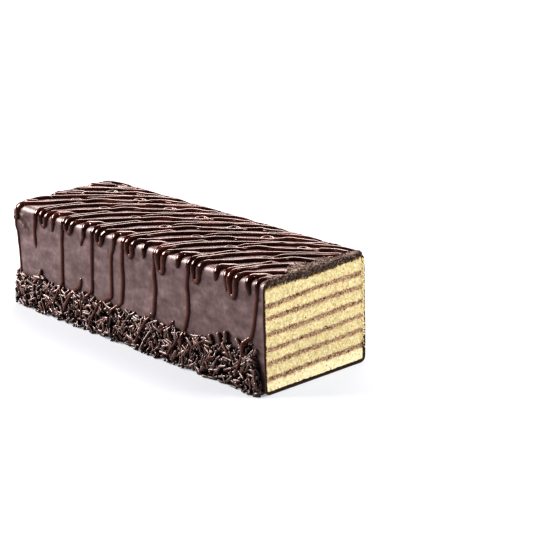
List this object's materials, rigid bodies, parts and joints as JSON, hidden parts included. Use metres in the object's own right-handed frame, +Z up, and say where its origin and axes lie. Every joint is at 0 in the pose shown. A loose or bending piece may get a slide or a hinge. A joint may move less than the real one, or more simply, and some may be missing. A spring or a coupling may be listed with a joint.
{
  "type": "seven layer cake",
  "caption": "Oblong layer cake in a dark chocolate coating, cut across at one end to show its sponge and cream layers, with a band of sprinkles round its foot.",
  "frame": {"origin": "middle of the whole cake's box, at its underside", "axes": "+X along the loaf towards the cut face, +Y towards the long side that the picture hides, +Z up"},
  "size_m": [0.2324, 0.0822, 0.064],
  "materials": {
    "sponge": "matte, open crumb",
    "cream": "matte",
    "chocolate": "satin to glossy",
    "sprinkles": "satin"
  },
  "bodies": {
    "root": {"sponge_1": "sponge", "sponge_2": "sponge", "sponge_3": "sponge", "sponge_4": "sponge", "sponge_5": "sponge", "sponge_6": "sponge", "sponge_7": "sponge", "cream_1": "cream", "cream_2": "cream", "cream_3": "cream", "cream_4": "cream", "cream_5": "cream", "cream_6": "cream", "coating": "chocolate", "sprinkles_front": "sprinkles", "sprinkles_back": "sprinkles", "sprinkles_end": "sprinkles"}
  },
  "joints": []
}
